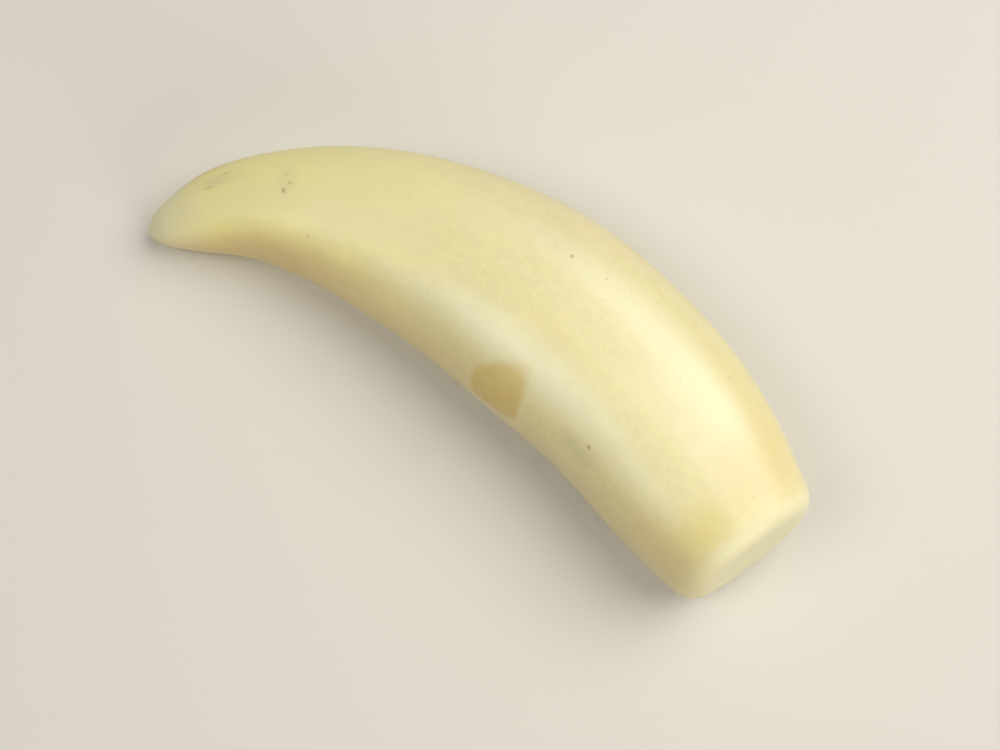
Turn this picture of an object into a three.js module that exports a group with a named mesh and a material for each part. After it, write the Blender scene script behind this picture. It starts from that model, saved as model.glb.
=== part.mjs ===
// A polished whale tooth lying on its side, as one solid of ivory. It is bent like a crescent, worn to a blunt
// point at the tip, and sawn square with a rounded rim at the root.
// Millimetres, Z up. The origin is on the surface that the tooth lies on, under the middle of its box.
// X runs from the tip to the root, and the bulging edge of the crescent is on the +Y side.
import * as THREE from "three";

const axisLength = 131.4; // along the bent middle of the tooth, tip to root
const bellyWidth = 37; // across the crescent, at its widest
const bellyThickness = 29; // square to the crescent, at its thickest
const bendDeg = 64; // how far the tooth turns between its two ends
const tipLength = 4.4; // over which the blunt tip closes
const rimDepth = 4; // how far along the tooth the sawn edge is rounded
const rimInset = 4.5; // how far in from its sides
const rimExponent = 2.7; // of the rounded edge: 2 is round, and more is squarer
const cutLeanDeg = 8; // how far the sawn face leans back from upright
const restDepth = 0.4; // ivory rubbed off underneath, which stops the tooth rolling
const tipLift = 1.3; // how far the underside rises from the belly to the tip
const rootLift = 0.9; // how far it rises from the belly to the root
const bulgeExponent = 2.5; // of the section towards the bulging edge: 2 is round, and more has fuller shoulders
const hollowExponent = 2.35; // of the section towards the hollow edge

// How the tooth grows and turns from tip to root, as shares of the sizes above. The stations crowd towards the
// tip. The widths and thicknesses are those before the tip closes and the rim rounds over.
const widthShares = [0.126, 0.219, 0.384, 0.51, 0.66, 0.8, 0.917, 0.995, 0.98, 0.919, 0.724];
const thicknessShares = [0.18, 0.31, 0.465, 0.595, 0.71, 0.825, 0.925, 0.99, 1, 0.97, 0.93];
const bendShares = [0, -0.013, -0.011, 0.198, 0.363, 0.513, 0.619, 0.759, 0.866, 1.038, 1];
const crowdingPower = 1.5; // 1 would space the stations evenly
const bellyAt = 0.64; // the thickest place, as a share of the way along
const leanFrom = 0.8; // where the rings begin to lean with the sawn face

const tipRings = 8;
const bodyRings = 46;
const rimRings = 6;
const sectionPoints = 56;
const axisSteps = 400;

// A smooth value between the stations, at a share of the way along.
function shareAt(shares, along) {
  const last = shares.length - 1;
  const place = along ** (1 / crowdingPower) * last;
  const i = Math.min(Math.floor(place), last - 1);
  const t = place - i;
  const from = shares[i];
  const to = shares[i + 1];
  const before = i > 0 ? shares[i - 1] : 2 * from - to;
  const after = i + 1 < last ? shares[i + 2] : 2 * to - from;
  const slopeIn = (to - before) / 2;
  const slopeOut = (after - from) / 2;
  const bend = 3 * (to - from) - 2 * slopeIn - slopeOut;
  const ease = 2 * (from - to) + slopeIn + slopeOut;
  return from + t * (slopeIn + t * (bend + t * ease));
}

// The way that the axis points at a share of its length, counted from the tip's own direction.
function headingAt(share) {
  return -THREE.MathUtils.degToRad(bendDeg) * shareAt(bendShares, share);
}

// Points along the axis, turned so that the root's middle is straight along X from the tip.
function traceAxis() {
  const points = [new THREE.Vector2()];
  const step = axisLength / axisSteps;
  for (let i = 0; i < axisSteps; i++) {
    const heading = headingAt((i + 0.5) / axisSteps);
    const move = new THREE.Vector2(Math.cos(heading), Math.sin(heading)).multiplyScalar(step);
    points.push(points[i].clone().add(move));
  }
  const rootEnd = points[axisSteps];
  const turn = -Math.atan2(rootEnd.y, rootEnd.x);
  const middle = new THREE.Vector2();
  points.forEach((point) => point.rotateAround(middle, turn));
  return { points, turn };
}

// How far the underside stands above the belly's, before it is rubbed flat.
function liftAt(share) {
  if (share < bellyAt) {
    return tipLift * (1 - share / bellyAt) ** 2;
  }
  return rootLift * ((share - bellyAt) / (1 - bellyAt)) ** 2;
}

// How far a ring leans back for each millimetre that it rises, up to the sawn face's own lean.
function leanAt(share) {
  const near = Math.max(share - leanFrom, 0) / (1 - leanFrom);
  return Math.tan(THREE.MathUtils.degToRad(cutLeanDeg)) * near ** 2;
}

// One ring of the surface: its place and direction, how high it lies and how far it reaches sideways and up.
// The closing share is 1 along the body, and falls to 0 at the very tip.
function ringAt(axis, share, closing, inset) {
  const place = share * axisSteps;
  const i = Math.min(Math.floor(place), axisSteps - 1);
  const halfThickness = (bellyThickness / 2) * shareAt(thicknessShares, share);
  return {
    middle: axis.points[i].clone().lerp(axis.points[i + 1], place - i),
    heading: headingAt(share) + axis.turn,
    lean: leanAt(share),
    height: halfThickness + liftAt(share) - restDepth,
    halfWidth: (bellyWidth / 2) * shareAt(widthShares, share) * closing - inset,
    halfThickness: halfThickness * closing - inset,
  };
}

// A point of a ring's rounded section. Nothing reaches below the surface that the tooth lies on.
function sectionPoint(ring, angle) {
  const c = Math.cos(angle);
  const s = Math.sin(angle);
  const power = 2 / (c > 0 ? bulgeExponent : hollowExponent);
  const out = ring.halfWidth * Math.sign(c) * Math.abs(c) ** power;
  const up = ring.halfThickness * Math.sign(s) * Math.abs(s) ** power;
  const back = up * ring.lean;
  return new THREE.Vector3(
    ring.middle.x - out * Math.sin(ring.heading) - back * Math.cos(ring.heading),
    ring.middle.y + out * Math.cos(ring.heading) - back * Math.sin(ring.heading),
    Math.max(ring.height + up, 0),
  );
}

// The rings from the tip to the edge of the sawn face. The tip closes and the rim rounds over like arcs.
function layRings(axis) {
  const rings = [];
  const tipShare = tipLength / axisLength;
  const rimShare = rimDepth / axisLength;
  for (let i = 1; i <= tipRings; i++) {
    const angle = (i / tipRings) * (Math.PI / 2);
    rings.push(ringAt(axis, tipShare * (1 - Math.cos(angle)), Math.sin(angle), 0));
  }
  for (let i = 1; i <= bodyRings; i++) {
    rings.push(ringAt(axis, tipShare + ((1 - tipShare - rimShare) * i) / bodyRings, 1, 0));
  }
  for (let i = 1; i <= rimRings; i++) {
    const angle = (i / rimRings) * (Math.PI / 2);
    const out = Math.sin(angle) ** (2 / rimExponent);
    const inward = 1 - Math.abs(Math.cos(angle)) ** (2 / rimExponent);
    rings.push(ringAt(axis, 1 - rimShare * (1 - out), 1, rimInset * inward));
  }
  return rings;
}

function toothGeometry() {
  const axis = traceAxis();
  const rings = layRings(axis);
  const tip = ringAt(axis, 0, 0, 0);
  const root = rings[rings.length - 1];
  const vertices = [new THREE.Vector3(tip.middle.x, tip.middle.y, tip.height)];
  for (const ring of rings) {
    for (let j = 0; j < sectionPoints; j++) {
      vertices.push(sectionPoint(ring, ((j + 0.5) / sectionPoints) * 2 * Math.PI));
    }
  }
  vertices.push(new THREE.Vector3(root.middle.x, root.middle.y, root.height));

  const faces = [];
  const rootMiddle = vertices.length - 1;
  const rootRing = rootMiddle - sectionPoints;
  for (let j = 0; j < sectionPoints; j++) {
    const next = (j + 1) % sectionPoints;
    faces.push(0, 1 + next, 1 + j);
    for (let i = 0; i + 1 < rings.length; i++) {
      const near = 1 + i * sectionPoints;
      const far = near + sectionPoints;
      faces.push(near + j, near + next, far + next);
      faces.push(near + j, far + next, far + j);
    }
    faces.push(rootMiddle, rootRing + j, rootRing + next);
  }

  const geometry = new THREE.BufferGeometry().setFromPoints(vertices);
  geometry.setIndex(faces);
  geometry.computeBoundingBox();
  const centre = geometry.boundingBox.getCenter(new THREE.Vector3());
  geometry.translate(-centre.x, -centre.y, 0);
  geometry.computeVertexNormals();
  return geometry;
}

function makeTooth() {
  const ivory = new THREE.MeshStandardMaterial({ color: 0xebe0b6, roughness: 0.4, metalness: 0 });
  const mesh = new THREE.Mesh(toothGeometry(), ivory);
  mesh.name = "tooth";
  return mesh;
}

const whaleTooth = new THREE.Group();
whaleTooth.add(makeTooth());

export default whaleTooth;
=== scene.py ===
import math

import bpy
import numpy as np
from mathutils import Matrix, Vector, noise


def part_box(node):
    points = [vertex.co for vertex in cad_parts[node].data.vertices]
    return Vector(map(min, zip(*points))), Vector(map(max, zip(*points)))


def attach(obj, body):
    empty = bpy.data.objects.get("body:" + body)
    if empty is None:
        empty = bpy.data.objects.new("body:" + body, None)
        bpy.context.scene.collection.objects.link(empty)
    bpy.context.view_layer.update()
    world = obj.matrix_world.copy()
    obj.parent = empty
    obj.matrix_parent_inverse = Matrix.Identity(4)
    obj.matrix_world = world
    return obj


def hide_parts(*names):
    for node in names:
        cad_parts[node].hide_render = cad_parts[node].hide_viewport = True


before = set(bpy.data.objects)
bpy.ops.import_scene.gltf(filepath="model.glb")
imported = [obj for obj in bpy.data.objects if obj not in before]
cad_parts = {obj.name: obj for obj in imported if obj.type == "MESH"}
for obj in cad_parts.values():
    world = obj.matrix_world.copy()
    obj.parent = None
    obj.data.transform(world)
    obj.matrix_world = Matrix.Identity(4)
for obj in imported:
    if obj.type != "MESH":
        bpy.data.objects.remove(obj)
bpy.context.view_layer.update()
print("frame loaded:", ", ".join(sorted(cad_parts)))

mm = 0.001  # the sizes below are in millimetres


# Camera first: a 50 mm lens looking steeply down on the tooth.
cameraView = {
    "azimuth": 29.5,  # degrees round the tooth
    "elevation": 77,  # degrees above the floor
    "distance": 236.6,
    "target": (7.2, -7.19, 15),  # what the middle of the picture shows
    "lens": 50,
    "sensor": 36,
}


def placeCamera(view):
    around = math.radians(view["azimuth"])
    up = math.radians(view["elevation"])
    back = Vector((math.sin(around) * math.cos(up), -math.cos(around) * math.cos(up), math.sin(up)))
    data = bpy.data.cameras.new("camera")
    data.lens = view["lens"]
    data.sensor_width = view["sensor"]
    data.clip_start = 0.01
    data.clip_end = 10
    camera = bpy.data.objects.new("camera", data)
    bpy.context.scene.collection.objects.link(camera)
    camera.rotation_mode = "QUATERNION"
    camera.rotation_quaternion = (-back).to_track_quat("-Z", "Y")
    camera.location = (Vector(view["target"]) + back * view["distance"]) * mm
    bpy.context.scene.camera = camera
    return camera


placeCamera(cameraView)
print("camera placed")


# The tooth's form, the same as the solid's.
toothForm = {
    "axisLength": 131.4,  # along the bent middle of the tooth, tip to root
    "bellyWidth": 37,  # across the crescent, at its widest
    "bellyThickness": 29,  # square to the crescent, at its thickest
    "bendDeg": 64,  # how far the tooth turns between its two ends
    "tipLength": 4.4,  # over which the blunt tip closes
    "rimDepth": 4,  # how far along the tooth the sawn edge is rounded
    "rimInset": 4.5,  # and how far in from its sides
    "rimExponent": 2.7,  # of the rounded edge: 2 is round, and more is squarer
    "cutLeanDeg": 8,  # how far the sawn face leans back
    "restDepth": 0.4,  # rubbed off underneath
    "tipLift": 1.3,  # how far the underside rises towards the tip
    "rootLift": 0.9,  # and towards the root
    "bulgeExponent": 2.5,  # of the section towards the bulging edge
    "hollowExponent": 2.35,  # and towards the hollow edge
    "widths": [0.126, 0.219, 0.384, 0.51, 0.66, 0.8, 0.917, 0.995, 0.98, 0.919, 0.724],
    "thicknesses": [0.18, 0.31, 0.465, 0.595, 0.71, 0.825, 0.925, 0.99, 1, 0.97, 0.93],
    "bends": [0, -0.013, -0.011, 0.198, 0.363, 0.513, 0.619, 0.759, 0.866, 1.038, 1],
    "crowdingPower": 1.5,  # how the stations of these three lists crowd towards the tip
    "bellyAt": 0.64,  # the thickest place, as a share of the way along
    "leanFrom": 0.8,  # where the rings begin to lean with the sawn face
}

meshDetail = {
    "tipRings": 26,
    "bodyRings": 336,
    "rimRings": 20,
    "faceRings": 26,  # across the sawn face, from its edge to its middle
    "sectionPoints": 208,
    "axisSteps": 400,
}


def shareAt(shares, along):
    # a smooth value between the stations, at shares of the way along
    last = len(shares) - 1
    padded = np.array([2 * shares[0] - shares[1], *shares, 2 * shares[-1] - shares[-2]])
    place = np.clip(along, 0, 1) ** (1 / toothForm["crowdingPower"]) * last
    i = np.minimum(np.floor(place).astype(int), last - 1)
    t = place - i
    before, start, end, after = padded[i], padded[i + 1], padded[i + 2], padded[i + 3]
    slopeIn = (end - before) / 2
    slopeOut = (after - start) / 2
    bend = 3 * (end - start) - 2 * slopeIn - slopeOut
    ease = 2 * (start - end) + slopeIn + slopeOut
    return start + t * (slopeIn + t * (bend + t * ease))


def headingAt(share):
    return -math.radians(toothForm["bendDeg"]) * shareAt(toothForm["bends"], share)


def traceAxis():
    # points along the bent middle, turned so that the root's middle is straight along X from the tip
    steps = meshDetail["axisSteps"]
    heading = headingAt((np.arange(steps) + 0.5) / steps)
    moves = np.stack([np.cos(heading), np.sin(heading)], 1) * toothForm["axisLength"] / steps
    points = np.concatenate([np.zeros((1, 2)), np.cumsum(moves, 0)])
    turn = -math.atan2(points[-1, 1], points[-1, 0])
    c, s = math.cos(turn), math.sin(turn)
    return points @ np.array([[c, s], [-s, c]]), turn


def ringsOf(share, closing, inset):
    # place, direction, height and half sizes of rings, as in the solid
    form = toothForm
    axis, turn = traceAxis()
    place = share * meshDetail["axisSteps"]
    steps = np.arange(len(axis))
    halfThickness = form["bellyThickness"] / 2 * shareAt(form["thicknesses"], share)
    halfWidth = form["bellyWidth"] / 2 * shareAt(form["widths"], share)
    belly = form["bellyAt"]
    toTip = form["tipLift"] * (1 - share / belly) ** 2
    toRoot = form["rootLift"] * ((share - belly) / (1 - belly)) ** 2
    near = np.maximum(share - form["leanFrom"], 0) / (1 - form["leanFrom"])
    return {
        "share": share,
        "x": np.interp(place, steps, axis[:, 0]),
        "y": np.interp(place, steps, axis[:, 1]),
        "heading": headingAt(share) + turn,
        "lean": math.tan(math.radians(form["cutLeanDeg"])) * near**2,
        "height": halfThickness + np.where(share < belly, toTip, toRoot) - form["restDepth"],
        "halfWidth": halfWidth * closing - inset,
        "halfThickness": halfThickness * closing - inset,
    }


def layRings():
    # tip, body, rounded rim, then the sawn face, whose rings only shrink
    tipShare = toothForm["tipLength"] / toothForm["axisLength"]
    rimShare = toothForm["rimDepth"] / toothForm["axisLength"]
    quarter = math.pi / 2
    tipTurn = np.arange(1, meshDetail["tipRings"] + 1) / meshDetail["tipRings"] * quarter
    bodyWay = np.arange(1, meshDetail["bodyRings"] + 1) / meshDetail["bodyRings"]
    rimTurn = np.arange(1, meshDetail["rimRings"] + 1) / meshDetail["rimRings"] * quarter
    rimPower = 2 / toothForm["rimExponent"]
    share = np.concatenate([
        tipShare * (1 - np.cos(tipTurn)),
        tipShare + (1 - tipShare - rimShare) * bodyWay,
        1 - rimShare * (1 - np.sin(rimTurn) ** rimPower),
        np.ones(meshDetail["faceRings"] - 1),
    ])
    closing = np.concatenate([np.sin(tipTurn), np.ones(len(share) - len(tipTurn))])
    inset = np.zeros(len(share))
    rim = slice(len(tipTurn) + len(bodyWay), len(tipTurn) + len(bodyWay) + len(rimTurn))
    inset[rim] = toothForm["rimInset"] * (1 - np.abs(np.cos(rimTurn)) ** rimPower)
    inset[rim.stop:] = toothForm["rimInset"]
    shrink = np.ones(len(share))
    shrink[rim.stop:] = 1 - np.arange(1, meshDetail["faceRings"]) / meshDetail["faceRings"]
    return ringsOf(share, closing, inset), shrink


def sectionOf(rings, angles):
    # how far each point lies out from the axis towards the bulging edge, and up
    c, s = np.cos(angles)[None, :], np.sin(angles)[None, :]
    power = 2 / np.where(c > 0, toothForm["bulgeExponent"], toothForm["hollowExponent"])
    out = rings["halfWidth"][:, None] * np.sign(c) * np.abs(c) ** power
    up = rings["halfThickness"][:, None] * np.sign(s) * np.abs(s) ** power
    return out, up


def pointsOf(rings, out, up):
    # bent back from the straightened tooth into its place, in millimetres
    c, s = np.cos(rings["heading"])[:, None], np.sin(rings["heading"])[:, None]
    back = up * rings["lean"][:, None]
    x = rings["x"][:, None] - out * s - back * c
    y = rings["y"][:, None] + out * c - back * s
    z = np.maximum(rings["height"][:, None] + up, 0)
    return np.stack([x, y, z], -1)


# Small marks in the ivory. Each is given by its place: millimetres along the tooth, and degrees round it,
# where 0 is the bulging edge, 90 the top, 180 the hollow edge and 270 the side that it lies on.
pits = [
    # along, around, half length, half width, depth
    (13.3, 72, 1.1, 0.25, 0.06),
    (16.6, 58, 0.9, 0.4, 0.04),
    (27.1, 89, 0.35, 0.45, 0.14),
    (28.0, 80, 0.4, 0.3, 0.07),
    (27.2, 71, 0.35, 0.25, 0.03),
    (33.4, 130, 0.3, 0.3, 0.06),
    (76.6, 60, 0.3, 0.3, 0.14),
    (73.8, 61, 0.5, 0.2, 0.03),
    (83.1, 58, 0.25, 0.25, 0.05),
    (87.4, 55, 0.25, 0.2, 0.03),
    (91.3, 47, 0.3, 0.25, 0.03),
    (100.9, 142, 0.45, 0.3, 0.12),
    (124.8, 77, 0.25, 0.25, 0.05),
    (58.0, 322, 0.5, 0.35, 0.1),
    (36.5, 214, 0.5, 0.35, 0.08),
    (103.0, 231, 0.4, 0.4, 0.12),
]


pitFinish = {
    "softness": 0.7,  # of a pit's dark outline
    "raggedness": 0.6,
    "grain": 1.6,
    "darkening": 6,  # for each millimetre of depth, up to the darkest
    "darkest": 0.7,
    "strength": 0.8,
}


def placeOn(along, around):
    # a mark's middle in the straightened tooth: along it, out towards the bulge, and up
    ring = ringsOf(np.array([along / toothForm["axisLength"]]), np.ones(1), np.zeros(1))
    c, s = math.cos(math.radians(around)), math.sin(math.radians(around))
    power = toothForm["bulgeExponent"] if c > 0 else toothForm["hollowExponent"]
    wide, thick = float(ring["halfWidth"][0]), float(ring["halfThickness"][0])
    reach = (abs(c / wide) ** power + abs(s / thick) ** power) ** (-1 / power)
    return (along, reach * c, reach * s)


relief = {
    "clearance": 0.06,  # keeps every point inside the solid
    "hollowFacet": 0.2,  # how deep the hollow side is worn to a slope
    "facetMiddle": 156,  # degrees round the tooth
    "facetReach": 22,
    "topTrough": 0.16,  # between the two soft ridges along the top
    "troughMiddle": 95,
    "troughReach": 17,
    "polishWaves": 0.16,  # broad unevenness of hand polishing
    "growthRidges": 0.035,  # fine ridges along the tooth
    "rimWander": 0.22,  # unevenness of the rounded rim
    "rimMiddle": 129,  # along the tooth
    "rimReach": 3.2,
    "faceDish": 0.12,  # how far the sawn face dips in its middle
    "sawMarks": 0.025,
}


def bump(value, middle, reach):
    return np.exp(-((value - middle) / reach) ** 2)


def noiseField(points, seed):
    # smooth noise from -1 to 1 at an array of points
    flat = points.reshape(-1, 3)
    move = Vector((seed * 17.3, seed * 5.1, seed * 9.7))
    values = [noise.noise(Vector(p) + move) for p in flat.tolist()]
    return np.array(values).reshape(points.shape[:-1])


def reliefDepth(along, out, up):
    # how much ivory is worn away at each point, in millimetres
    degrees = np.degrees(np.arctan2(up, out)) % 360
    onBody = np.clip((along - 12) / 25, 0, 1) * np.clip((127 - along) / 20, 0, 1)
    onBody = (onBody**2 * (3 - 2 * onBody))[:, None]
    depth = relief["hollowFacet"] * bump(degrees, relief["facetMiddle"], relief["facetReach"]) * onBody
    depth = depth + relief["topTrough"] * bump(degrees, relief["troughMiddle"], relief["troughReach"]) * onBody
    straight = np.stack([np.broadcast_to(along[:, None], out.shape), out, up], -1)
    broad = noiseField(straight * np.array([0.05, 0.085, 0.085]), 1)
    middle = noiseField(straight * np.array([0.11, 0.2, 0.2]), 2)
    depth = depth + relief["polishWaves"] * (0.5 + 0.5 * broad + 0.3 * middle)
    ridges = noiseField(straight * np.array([0.03, 0.75, 0.75]), 3)
    depth = depth + relief["growthRidges"] * (0.5 + 0.5 * ridges)
    rimNear = bump(along, relief["rimMiddle"], relief["rimReach"])[:, None]
    wander = noiseField(straight * np.array([0.05, 0.16, 0.16]), 4)
    depth = depth + relief["rimWander"] * (0.5 + 0.5 * wander) * rimNear
    for place, around, length, width, deep in pits:
        gap = (straight - np.array(placeOn(place, around))) / np.array([length, width, width])
        depth = depth + deep * np.exp(-(gap**2).sum(-1))
    return relief["clearance"] + depth


def shapeTooth():
    rings, shrink = layRings()
    count = meshDetail["sectionPoints"]
    angles = (np.arange(count) + 0.5) / count * 2 * math.pi
    out, up = sectionOf(rings, angles)
    along = rings["share"] * toothForm["axisLength"]
    depth = reliefDepth(along, out, up)
    reach = np.sqrt(out**2 + up**2)
    depth = np.minimum(depth, reach * 0.3)
    shrunk = shrink[:, None]
    worn = (1 - depth / reach) * shrunk
    straight = np.stack([np.broadcast_to(along[:, None], out.shape), out * shrunk, up * shrunk], -1)
    out, up = out * worn, up * worn
    points = pointsOf(rings, out, up)
    # the sawn face dips a little in its middle, with faint saw marks
    onFace = shrink < 1
    onFace[np.argmax(onFace) - 1] = True
    faceOut, faceUp = out[onFace], up[onFace]
    edge = 1 - shrink[onFace][:, None]
    marks = np.sin(faceUp * 3.3 + 0.6 * np.sin(faceOut * 0.4)) * 0.5 + 0.5
    dip = relief["faceDish"] * np.sin(edge * math.pi / 2) ** 2
    dip = dip + relief["sawMarks"] * marks * np.minimum(edge * 6, 1)
    heading, lean = rings["heading"][-1], rings["lean"][-1]
    inward = -np.array([math.cos(heading), math.sin(heading), lean]) / math.sqrt(1 + lean**2)
    points[onFace] += dip[..., None] * inward
    # one point closes the tip, and one the middle of the sawn face
    clear = relief["clearance"]
    first, last = rings["heading"][0], points[-1].mean(0)
    tipRing = ringsOf(np.zeros(1), np.zeros(1), np.zeros(1))
    tipPoint = np.array([
        tipRing["x"][0] + clear * math.cos(first),
        tipRing["y"][0] + clear * math.sin(first),
        tipRing["height"][0],
    ])
    vertices = np.concatenate([[tipPoint], points.reshape(-1, 3), [last]])
    straights = np.concatenate([[(0, 0, 0)], straight.reshape(-1, 3), [(toothForm["axisLength"], 0, 0)]])
    return vertices, straights, len(along)


def facesOf(ringCount):
    count = meshDetail["sectionPoints"]
    faces = []
    lastRing = 1 + (ringCount - 1) * count
    middle = 1 + ringCount * count
    for j in range(count):
        following = (j + 1) % count
        faces.append((0, 1 + following, 1 + j))
        faces.append((middle, lastRing + j, lastRing + following))
        for i in range(ringCount - 1):
            near = 1 + i * count
            far = near + count
            faces.append((near + j, near + following, far + following, far + j))
    return faces


def makeTooth():
    vertices, straights, ringCount = shapeTooth()
    low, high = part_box("tooth")
    centre = (vertices.min(0) + vertices.max(0)) / 2
    vertices = (vertices - [centre[0], centre[1], 0]) * mm
    vertices += [(low.x + high.x) / 2, (low.y + high.y) / 2, low.z]
    mesh = bpy.data.meshes.new("whale_tooth")
    mesh.from_pydata(vertices.tolist(), [], facesOf(ringCount))
    place = mesh.attributes.new("straight", "FLOAT_VECTOR", "POINT")
    place.data.foreach_set("vector", straights.astype(np.float32).ravel())
    mesh.polygons.foreach_set("use_smooth", [True] * len(mesh.polygons))
    mesh.update()
    tooth = bpy.data.objects.new("whale_tooth", mesh)
    bpy.context.scene.collection.objects.link(tooth)
    return tooth


tooth = makeTooth()
print("tooth shaped:", len(tooth.data.vertices), "points")


# Nodes. A graph is built with short calls: node(tree, type, inputs) makes one and sets or links its sockets.
def node(tree, kind, inputs=None, **settings):
    made = tree.nodes.new(kind)
    for name, value in settings.items():
        setattr(made, name, value)
    for name, value in (inputs or {}).items():
        socket = made.inputs[name]
        if isinstance(value, bpy.types.NodeSocket):
            tree.links.new(value, socket)
        else:
            socket.default_value = value
    return made


def maths(tree, operation, *values, clamp=False):
    made = node(tree, "ShaderNodeMath", dict(enumerate(values)), operation=operation, use_clamp=clamp)
    return made.outputs[0]


def vectorMaths(tree, operation, *values):
    made = node(tree, "ShaderNodeVectorMath", dict(enumerate(values)), operation=operation)
    return made.outputs["Value"] if operation in ("LENGTH", "DOT_PRODUCT") else made.outputs["Vector"]


def ramp(tree, value, low, high, start=0.0, end=1.0):
    # eases from start to end while value goes from low to high
    made = node(tree, "ShaderNodeMapRange", {
        "Value": value, "From Min": low, "From Max": high, "To Min": start, "To Max": end,
    }, interpolation_type="SMOOTHSTEP")
    return made.outputs["Result"]


def blendColour(tree, share, first, second, mode="MIX"):
    made = node(tree, "ShaderNodeMix", data_type="RGBA", blend_type=mode)
    for index, value in ((0, share), (6, first), (7, second)):
        if isinstance(value, bpy.types.NodeSocket):
            tree.links.new(value, made.inputs[index])
        else:
            made.inputs[index].default_value = value
    return made.outputs[2]


def colour(red, green, blue):
    return (red, green, blue, 1.0)


def newGroup(name, inputs, outputs):
    group = bpy.data.node_groups.new(name, "ShaderNodeTree")
    for label, kind, value in inputs:
        socket = group.interface.new_socket(label, in_out="INPUT", socket_type="NodeSocket" + kind)
        if value is not None:
            socket.default_value = value
    for label, kind in outputs:
        group.interface.new_socket(label, in_out="OUTPUT", socket_type="NodeSocket" + kind)
    start = group.nodes.new("NodeGroupInput")
    end = group.nodes.new("NodeGroupOutput")
    return group, start.outputs, end.inputs


def useGroup(tree, group, inputs):
    made = tree.nodes.new("ShaderNodeGroup")
    made.node_tree = group
    for name, value in inputs.items():
        if isinstance(value, bpy.types.NodeSocket):
            tree.links.new(value, made.inputs[name])
        else:
            made.inputs[name].default_value = value
    return made.outputs


def noiseAt(tree, place, stretch, scale=1.0, detail=3.0, roughness=0.5, distortion=0.0):
    squeezed = vectorMaths(tree, "MULTIPLY", place, stretch)
    made = node(tree, "ShaderNodeTexNoise", {
        "Vector": squeezed, "Scale": scale, "Detail": detail, "Roughness": roughness, "Distortion": distortion,
    })
    return made.outputs["Fac"]


# Broad and fine clouding that runs along the tooth, as it grew.
def growthCloudsGroup():
    group, given, result = newGroup(
        "growthClouds",
        [("Place", "Vector", None), ("Offset", "Vector", (0, 0, 0))],
        [("Broad", "Float"), ("Streaks", "Float"), ("Fine", "Float"), ("Grain", "Float")],
    )
    place = vectorMaths(group, "ADD", given["Place"], given["Offset"])
    broad = noiseAt(group, place, (0.055, 0.1, 0.1), detail=4, roughness=0.55, distortion=0.6)
    streaks = noiseAt(group, place, (0.022, 0.21, 0.21), detail=3, roughness=0.5)
    fine = noiseAt(group, place, (0.45, 0.7, 0.7), detail=4, roughness=0.6)
    grain = noiseAt(group, place, (1.5, 2.4, 2.4), detail=2, roughness=0.6)
    group.links.new(ramp(group, broad, 0.3, 0.7), result["Broad"])
    group.links.new(ramp(group, streaks, 0.3, 0.7), result["Streaks"])
    group.links.new(ramp(group, fine, 0.3, 0.7), result["Fine"])
    group.links.new(ramp(group, grain, 0.35, 0.65), result["Grain"])
    return group


# A soft or sharp patch round one place, with an uneven outline.
def patchGroup():
    group, given, result = newGroup(
        "patch",
        [
            ("Place", "Vector", None), ("Middle", "Vector", (0, 0, 0)), ("Reach", "Vector", (1, 1, 1)),
            ("Softness", "Float", 0.5), ("Raggedness", "Float", 0.3), ("Grain", "Float", 0.5),
        ],
        [("Mask", "Float")],
    )
    gap = vectorMaths(group, "SUBTRACT", given["Place"], given["Middle"])
    gap = vectorMaths(group, "DIVIDE", gap, given["Reach"])
    far = vectorMaths(group, "LENGTH", gap)
    ragged = node(group, "ShaderNodeTexNoise", {
        "Vector": given["Place"], "Scale": given["Grain"], "Detail": 3.0, "Roughness": 0.55,
    }).outputs["Fac"]
    ragged = maths(group, "MULTIPLY", maths(group, "SUBTRACT", ragged, 0.5), given["Raggedness"])
    far = maths(group, "ADD", far, ragged)
    inner = maths(group, "SUBTRACT", 1.0, given["Softness"])
    outer = maths(group, "ADD", 1.0, given["Softness"])
    made = node(group, "ShaderNodeMapRange", {
        "Value": far, "From Min": inner, "From Max": outer, "To Min": 1.0, "To Max": 0.0,
    }, interpolation_type="SMOOTHSTEP")
    group.links.new(made.outputs["Result"], result["Mask"])
    return group


# Tiny open pores, a few of them dark.
def poresGroup():
    group, given, result = newGroup(
        "pores",
        [("Place", "Vector", None), ("Scale", "Float", 0.35), ("Size", "Float", 0.09), ("Few", "Float", 0.72)],
        [("Dark", "Float"), ("Depth", "Float")],
    )
    wobble = node(group, "ShaderNodeTexNoise", {"Vector": given["Place"], "Scale": 1.7, "Detail": 2.0})
    shaken = vectorMaths(group, "ADD", given["Place"], wobble.outputs["Color"])
    cells = node(group, "ShaderNodeTexVoronoi", {"Vector": shaken, "Scale": given["Scale"]})
    chosen = node(group, "ShaderNodeSeparateColor", {"Color": cells.outputs["Color"]}).outputs[0]
    chosen = maths(group, "GREATER_THAN", chosen, given["Few"])
    spot = node(group, "ShaderNodeMapRange", {
        "Value": cells.outputs["Distance"],
        "From Min": given["Size"], "From Max": 0.02, "To Min": 0.0, "To Max": 1.0,
    }, interpolation_type="SMOOTHSTEP").outputs["Result"]
    dark = maths(group, "MULTIPLY", spot, chosen)
    group.links.new(dark, result["Dark"])
    group.links.new(maths(group, "MULTIPLY", dark, -1.0), result["Depth"])
    return group


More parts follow.
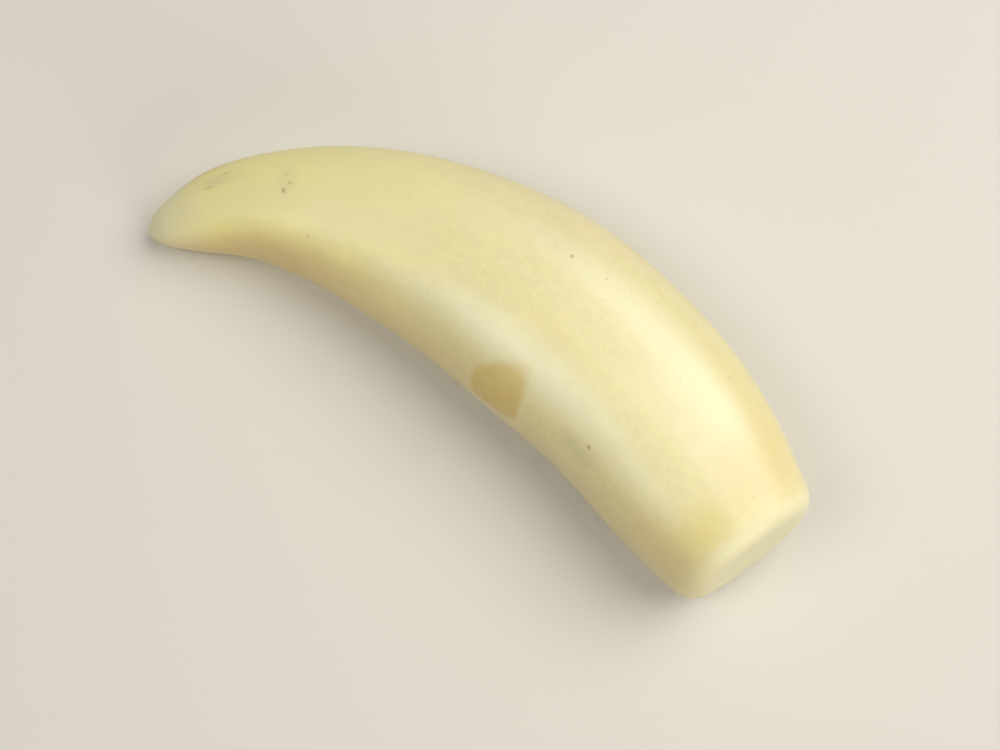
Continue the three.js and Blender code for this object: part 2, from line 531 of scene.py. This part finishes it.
# Fine hand polishing: hair scratches, and duller and brighter patches from handling.
def handPolishGroup():
    group, given, result = newGroup(
        "handPolish",
        [("Place", "Vector", None), ("Scratches", "Float", 0.5), ("Smudges", "Float", 0.5)],
        [("Roughness", "Float"), ("Height", "Float")],
    )
    alongScratch = noiseAt(group, given["Place"], (0.35, 9.0, 9.0), detail=2, roughness=0.5)
    acrossScratch = noiseAt(group, given["Place"], (7.0, 0.9, 0.9), detail=2, roughness=0.5, distortion=0.3)
    smudge = noiseAt(group, given["Place"], (0.16, 0.2, 0.2), detail=4, roughness=0.6, distortion=0.8)
    lines = maths(group, "ADD", ramp(group, alongScratch, 0.56, 0.72), ramp(group, acrossScratch, 0.62, 0.76))
    lines = maths(group, "MULTIPLY", lines, given["Scratches"])
    smudge = maths(group, "MULTIPLY", ramp(group, smudge, 0.3, 0.7), given["Smudges"])
    group.links.new(maths(group, "ADD", maths(group, "MULTIPLY", lines, 0.5), smudge), result["Roughness"])
    group.links.new(maths(group, "MULTIPLY", lines, -1.0), result["Height"])
    return group


groups = {
    "clouds": growthCloudsGroup(),
    "patch": patchGroup(),
    "pores": poresGroup(),
    "polish": handPolishGroup(),
}


ivoryTones = {
    "base": colour(0.865, 0.78, 0.415),
    "pale": colour(0.88, 0.82, 0.545),
    "tan": colour(0.79, 0.70, 0.345),
    "olive": colour(0.79, 0.67, 0.27),
    "greenish": colour(0.76, 0.72, 0.38),
    "aged": colour(0.94, 0.835, 0.325),
    # painted shade, laid along the hollow edge
    "shaded": colour(0.73, 0.56, 0.25),
    "brown": colour(0.70, 0.51, 0.22),
    "stain": colour(0.68, 0.49, 0.13),
    "amber": colour(0.80, 0.60, 0.26),
    "grey": colour(0.55, 0.52, 0.34),
    # painted highlight, partly a paler band: the cool sheen along the hollow shoulder
    "coolBandAndSheen": colour(0.84, 0.81, 0.57),
    "rosy": colour(0.84, 0.66, 0.42),
    "pit": colour(0.37, 0.26, 0.08),
    "tip": colour(0.81, 0.755, 0.50),
    # paler rim and sawn face: partly their own tone, partly painted light
    "rim": colour(0.84, 0.78, 0.51),
    "dull": colour(0.72, 0.66, 0.36),
}

# How strongly each kind of clouding shows over the base tone.
clouding = {
    "tan": 0.42,
    "pale": 0.55,
    "fine": 0.36,
    "grain": 0.28,
    "aged": 0.75,  # at the tip
    "agedFrom": 80,  # millimetres along, from where it grows towards the tip
    "agedTo": 22,
    "shadedAtTip": 0.95,  # painted shade on the hollow edge
    "shadedAtRoot": 0.42,
}

# Patches of the body: along, around, half sizes along and across, softness, raggedness, tone and strength.
bodyPatches = [
    # painted highlight: these three pale streaks lie where the lamp's sheen runs along the bulging shoulder,
    # partly a paler band in the ivory
    (90, 60, 24, 3.4, 0.7, 0.5, "pale", 0.55),  # pale streak on the bulging side: painted highlight of the lamp's sheen, partly a paler band in the ivory
    (110, 74, 12, 5.0, 0.7, 0.6, "pale", 0.55),
    (43, 66, 18, 4.0, 0.8, 0.6, "pale", 0.25),
    (82, 131, 27, 3.6, 0.7, 0.6, "coolBandAndSheen", 0.6),  # and on the hollow side, a cool painted highlight, partly a paler band in the ivory
    (38, 105, 15, 3.4, 0.8, 0.6, "coolBandAndSheen", 0.4),
    (97, 92, 27, 3.4, 0.8, 0.7, "tan", 0.2),  # tan middle between them
    (121.5, 58, 6.5, 6.5, 1.0, 0.5, "amber", 0.5),
    (112, 38, 10, 3.5, 0.8, 0.8, "amber", 0.2),
    (78, 30, 12, 3.5, 0.8, 0.8, "rosy", 0.2),
    (124.6, 119, 3.6, 4.6, 1.0, 0.5, "olive", 0.8),
    (123.5, 150, 6.0, 4.2, 1.0, 0.5, "amber", 0.5),
    (19.5, 98, 9, 4.5, 0.8, 0.6, "greenish", 0.6),
    (32, 60, 17, 6.0, 0.8, 0.8, "greenish", 0.45),
    (24, 166, 13, 4.4, 0.9, 0.5, "brown", 0.8),  # brownish bend behind the tip
    (72.6, 52, 5, 3.0, 0.8, 0.9, "grey", 0.12),
    (100.9, 149, 3.0, 1.6, 0.8, 0.9, "grey", 0.3),
    (96.9, 147, 2.0, 1.2, 0.8, 0.9, "grey", 0.25),
    (27.2, 79, 1.6, 2.4, 0.8, 0.9, "grey", 0.2),
    (15.0, 66, 3.4, 1.2, 0.8, 0.9, "grey", 0.3),
    (12.5, 22, 8.0, 2.6, 0.9, 0.5, "brown", 0.55),
    (1.5, 92, 9.0, 6.0, 0.8, 0.6, "tip", 0.85),
]

# The amber stain on the hollow side. Its sides are given by the way that each faces, counted from along the
# tooth towards up, and by how far it is from the middle.
stain = {
    "along": 80.9,
    "up": 7.9,
    "sides": [
        (12, 4.8), (50, 5.4), (80, 4.5), (105, 4.2), (130, 4.3), (190, 6.2), (217, 8.4), (270, 6.3), (305, 6.4),
    ],
    "corners": 2.2,  # how round its corners are
    "wander": 0.8,  # unevenness of its outline
    "rootFade": 0.8,  # how softly it ends towards the root
    "tipFade": 1.0,  # and towards the tip
    "strength": 0.9,
}


def straightPlace(tree):
    # each point's place in the straightened tooth: along it, out towards the bulge, and up
    made = node(tree, "ShaderNodeAttribute", attribute_name="straight", attribute_type="GEOMETRY")
    return made.outputs["Vector"]


def ivoryColour(tree, place):
    # the clouded ground that the body and the root share: yellower towards the tip, and darker and warmer on the
    # hollow edge as painted shade
    parts = node(tree, "ShaderNodeSeparateXYZ", {"Vector": place}).outputs
    clouds = useGroup(tree, groups["clouds"], {"Place": place, "Offset": (3.0, 11.0, 5.0)})
    made = ivoryTones["base"]
    for cloud, strength, tone in (
        ("Broad", clouding["tan"], "tan"),
        ("Streaks", clouding["pale"], "pale"),
        ("Fine", clouding["fine"], "dull"),
        ("Grain", clouding["grain"], "dull"),
    ):
        made = blendColour(tree, maths(tree, "MULTIPLY", clouds[cloud], strength), made, ivoryTones[tone])
    nearTip = maths(tree, "MULTIPLY_ADD", clouds["Broad"], 14.0, parts["X"])
    nearTip = ramp(tree, nearTip, clouding["agedFrom"], clouding["agedTo"], 0.0, clouding["aged"])
    made = blendColour(tree, nearTip, made, ivoryTones["aged"])
    # painted shade: the hollow edge, where shade falls, takes the darker, warmer shaded tone, strongest near the
    # tip
    around = maths(tree, "ABSOLUTE", maths(tree, "ARCTAN2", parts["Z"], parts["Y"]))
    around = maths(tree, "MULTIPLY_ADD", clouds["Streaks"], 0.25, around)
    hollow = ramp(tree, around, 2.35, 3.1)
    shade = ramp(tree, parts["X"], 15, 100, clouding["shadedAtTip"], clouding["shadedAtRoot"])
    hollow = maths(tree, "MULTIPLY", hollow, shade)
    return blendColour(tree, hollow, made, ivoryTones["shaded"])


def laidPatch(tree, place, under, patch):
    along, around, length, width, softness, raggedness, tone, strength = patch
    mask = useGroup(tree, groups["patch"], {
        "Place": place, "Middle": placeOn(along, around), "Reach": (length, width, width),
        "Softness": softness, "Raggedness": raggedness, "Grain": 2.0 / (length + width) + 0.12,
    })["Mask"]
    return blendColour(tree, maths(tree, "MULTIPLY", mask, strength), under, ivoryTones[tone])


def stainMask(tree, place):
    parts = node(tree, "ShaderNodeSeparateXYZ", {"Vector": place}).outputs
    shake = node(tree, "ShaderNodeTexNoise", {"Vector": place, "Scale": 0.3, "Detail": 1.5}).outputs["Color"]
    shake = node(tree, "ShaderNodeSeparateColor", {"Color": shake}).outputs
    wander = stain["wander"]
    along = maths(tree, "SUBTRACT", parts["X"], stain["along"] + wander / 2)
    along = maths(tree, "MULTIPLY_ADD", shake[0], wander, along)
    up = maths(tree, "SUBTRACT", parts["Z"], stain["up"] + wander / 2)
    up = maths(tree, "MULTIPLY_ADD", shake[1], wander, up)
    outside = None
    for facing, far in stain["sides"]:
        turn = math.radians(facing)
        past = maths(tree, "MULTIPLY_ADD", up, math.sin(turn), maths(tree, "MULTIPLY", along, math.cos(turn)))
        past = maths(tree, "SUBTRACT", past, far)
        outside = past if outside is None else maths(tree, "SMOOTH_MAX", outside, past, stain["corners"])
    fade = ramp(tree, along, -6, 3, stain["tipFade"], stain["rootFade"])
    mask = ramp(tree, maths(tree, "DIVIDE", outside, fade), -1, 1, 1.0, 0.0)
    mask = maths(tree, "MULTIPLY", mask, ramp(tree, parts["Y"], -2, -6))
    mottle = noiseAt(tree, place, (0.5, 0.7, 0.7), detail=4, roughness=0.6)
    mask = maths(tree, "MULTIPLY", mask, ramp(tree, up, 5, -4, 0.68, 1.0))
    return maths(tree, "MULTIPLY", mask, ramp(tree, mottle, 0.3, 0.6, 0.78, 1.0))


def pitMask(tree, place):
    mask = None
    for along, around, length, width, depth in pits:
        found = useGroup(tree, groups["patch"], {
            "Place": place, "Middle": placeOn(along, around), "Reach": (length, width, width),
            "Softness": pitFinish["softness"],
            "Raggedness": pitFinish["raggedness"],
            "Grain": pitFinish["grain"],
        })["Mask"]
        found = maths(tree, "MULTIPLY", found, min(depth * pitFinish["darkening"], pitFinish["darkest"]))
        mask = found if mask is None else maths(tree, "MAXIMUM", mask, found)
    return mask


shine = {
    "roughness": 0.36,
    "scratches": 0.5,
    "smudges": 0.10,  # how much duller the handled patches are
    "ior": 1.54,
    "coat": 0.12,
    "coatRoughness": 0.25,
    "pores": 0.35,  # how dark the tiny pores are
    "bumpStrength": 0.25,
    "bumpDepth": 0.05,
    "glow": 0.22,  # how much light goes into the ivory and out again
    "glowDepth": 1.6,
}


def ivoryMaterial(name, colourOf, finishOf):
    material = bpy.data.materials.new(name)
    material.use_nodes = True
    tree = material.node_tree
    tree.nodes.clear()
    place = straightPlace(tree)
    roughness, scratches = finishOf(tree, place)
    polish = useGroup(tree, groups["polish"], {"Place": place, "Scratches": scratches, "Smudges": 1.0})
    pores = useGroup(tree, groups["pores"], {"Place": place, "Scale": 0.28, "Size": 0.11, "Few": 0.7})
    under = colourOf(tree, place)
    under = blendColour(tree, maths(tree, "MULTIPLY", pores["Dark"], shine["pores"]), under, ivoryTones["grey"])
    dull = maths(tree, "MULTIPLY_ADD", polish["Roughness"], shine["smudges"], roughness)
    fineClouds = noiseAt(tree, place, (0.9, 1.6, 1.6), detail=5, roughness=0.6)
    height = maths(tree, "MULTIPLY_ADD", polish["Height"], 0.25, fineClouds)
    height = maths(tree, "ADD", height, pores["Depth"])
    raised = node(tree, "ShaderNodeBump", {
        "Strength": shine["bumpStrength"], "Distance": shine["bumpDepth"] * mm, "Height": height,
    })
    shader = node(tree, "ShaderNodeBsdfPrincipled", {
        "Base Color": under,
        "Roughness": dull,
        "IOR": shine["ior"],
        "Coat Weight": shine["coat"],
        "Coat Roughness": shine["coatRoughness"],
        "Subsurface Weight": shine["glow"],
        "Subsurface Radius": (1.0, 0.72, 0.4),
        "Subsurface Scale": shine["glowDepth"] * mm,
        "Normal": raised.outputs["Normal"],
    })
    end = node(tree, "ShaderNodeOutputMaterial")
    tree.links.new(shader.outputs["BSDF"], end.inputs["Surface"])
    return material


def bodyColour(tree, place):
    made = ivoryColour(tree, place)
    for patch in bodyPatches:
        made = laidPatch(tree, place, made, patch)
    stained = maths(tree, "MULTIPLY", stainMask(tree, place), stain["strength"])
    made = blendColour(tree, stained, made, ivoryTones["stain"])
    pitted = maths(tree, "MULTIPLY", pitMask(tree, place), pitFinish["strength"])
    return blendColour(tree, pitted, made, ivoryTones["pit"])


def bodyFinish(tree, place):
    return shine["roughness"], shine["scratches"]


rootFinish = {
    "startsAt": 127.4,  # along the tooth
    "blend": 2.0,
    # partly painted light: how strongly the rim's paler tone shows
    "tint": 0.75,
    "mottle": 0.35,
    "roughness": 0.42,
    "scratches": 0.9,
    "ringSpacing": 1.5,  # of the growth rings on the sawn face
    "ringStrength": 0.16,
}


def rootColour(tree, place):
    made = ivoryColour(tree, place)
    for patch in bodyPatches:
        if patch[0] > 107:
            made = laidPatch(tree, place, made, patch)
    parts = node(tree, "ShaderNodeSeparateXYZ", {"Vector": place}).outputs
    wander = noiseAt(tree, place, (0.3, 0.3, 0.3), detail=3)
    edge = maths(tree, "MULTIPLY_ADD", maths(tree, "SUBTRACT", wander, 0.5), 3.0, parts["X"])
    begun = ramp(tree, edge, rootFinish["startsAt"], rootFinish["startsAt"] + rootFinish["blend"])
    # the rim and sawn face are tinted paler: partly their own duller tone, partly painted light where the lamps
    # catch the rim, less towards the hollow side where shade falls
    tint = maths(tree, "MULTIPLY", ramp(tree, parts["Y"], -12, -4, 0.3, 1.0), rootFinish["tint"])
    made = blendColour(tree, maths(tree, "MULTIPLY", begun, tint), made, ivoryTones["rim"])
    mottle = ramp(tree, noiseAt(tree, place, (0.5, 0.45, 0.45), detail=4, roughness=0.6), 0.45, 0.7)
    mottle = maths(tree, "MULTIPLY", mottle, begun)
    made = blendColour(tree, maths(tree, "MULTIPLY", mottle, rootFinish["mottle"]), made, ivoryTones["greenish"])
    # growth rings on the sawn face
    across = maths(tree, "MULTIPLY", parts["Y"], 0.82)
    far = maths(tree, "SQRT", maths(tree, "ADD", maths(tree, "MULTIPLY", across, across),
                                    maths(tree, "MULTIPLY", parts["Z"], parts["Z"])))
    far = maths(tree, "MULTIPLY_ADD", wander, 1.2, far)
    wave = maths(tree, "SINE", maths(tree, "MULTIPLY", far, 2 * math.pi / rootFinish["ringSpacing"]))
    onFace = ramp(tree, parts["X"], toothForm["axisLength"] - 0.7, toothForm["axisLength"] - 0.05)
    onFace = maths(tree, "MULTIPLY", onFace, ramp(tree, wander, 0.4, 0.62, 0.2, 1.0))
    rings = maths(tree, "MULTIPLY", ramp(tree, wave, -0.2, 1.0, 0.0, rootFinish["ringStrength"]), onFace)
    return blendColour(tree, rings, made, ivoryTones["tan"])


def rootGloss(tree, place):
    # changes from the body's finish to the root's own
    along = node(tree, "ShaderNodeSeparateXYZ", {"Vector": place}).outputs["X"]
    start, stop = rootFinish["startsAt"], rootFinish["startsAt"] + rootFinish["blend"]
    roughness = ramp(tree, along, start, stop, shine["roughness"], rootFinish["roughness"])
    return roughness, ramp(tree, along, start, stop, shine["scratches"], rootFinish["scratches"])


bodyIvory = ivoryMaterial("polishedIvory", bodyColour, bodyFinish)
rootIvory = ivoryMaterial("sawnRootIvory", rootColour, rootGloss)
tooth.data.materials.append(bodyIvory)
tooth.data.materials.append(rootIvory)


def giveRootItsIvory():
    # the root's ivory begins just before its tint does
    along = np.zeros(len(tooth.data.vertices) * 3, np.float32)
    tooth.data.attributes["straight"].data.foreach_get("vector", along)
    along = along[::3]
    for face in tooth.data.polygons:
        face.material_index = 1 if along[face.vertices[0]] > rootFinish["startsAt"] - 1.2 else 0


giveRootItsIvory()
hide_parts("tooth")
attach(tooth, "root")
print("ivory finished")


studio = {
    "floorReach": 3,  # metres
    "floorTone": colour(0.72, 0.69, 0.63),
    "sky": colour(1.0, 0.985, 0.95),
    "skyStrength": 0.14,
    # name, azimuth and elevation that it comes from, distance, size, watts, tint
    "lamps": [
        ("keyLight", 48, 57, 0.65, 0.62, 3.7, (1.0, 0.985, 0.93)),
        ("rootLight", -20, 20, 1.1, 0.6, 3.3, (1.0, 0.985, 0.93)),
        ("fillLight", 225, 58, 0.65, 0.32, 1.15, (1.0, 0.985, 0.93)),
    ],
}


def makeFloor():
    mesh = bpy.data.meshes.new("floor")
    reach = studio["floorReach"]
    corners = [(-reach, -reach, 0), (reach, -reach, 0), (reach, reach, 0), (-reach, reach, 0)]
    mesh.from_pydata(corners, [], [(0, 1, 2, 3)])
    floor = bpy.data.objects.new("floor", mesh)
    bpy.context.scene.collection.objects.link(floor)
    material = bpy.data.materials.new("paleFloor")
    material.use_nodes = True
    shader = material.node_tree.nodes["Principled BSDF"]
    shader.inputs["Base Color"].default_value = studio["floorTone"]
    shader.inputs["Roughness"].default_value = 0.8
    shader.inputs["Specular IOR Level"].default_value = 0.2
    mesh.materials.append(material)


def makeLamps():
    middle = Vector(cameraView["target"]) * mm
    for name, azimuth, elevation, distance, size, watts, tint in studio["lamps"]:
        around, up = math.radians(azimuth), math.radians(elevation)
        direction = Vector((math.cos(around) * math.cos(up), math.sin(around) * math.cos(up), math.sin(up)))
        data = bpy.data.lights.new(name, "AREA")
        data.shape = "DISK"
        data.size = size
        data.energy = watts
        data.color = tint
        lamp = bpy.data.objects.new(name, data)
        bpy.context.scene.collection.objects.link(lamp)
        lamp.rotation_mode = "QUATERNION"
        lamp.rotation_quaternion = (-direction).to_track_quat("-Z", "Y")
        lamp.location = middle + direction * distance


def setSky():
    world = bpy.data.worlds.new("studioSky")
    world.use_nodes = True
    background = world.node_tree.nodes["Background"]
    background.inputs["Color"].default_value = studio["sky"]
    background.inputs["Strength"].default_value = studio["skyStrength"]
    bpy.context.scene.world = world
    bpy.context.scene.view_settings.view_transform = "Standard"


makeFloor()
makeLamps()
setSky()
print("studio lit")
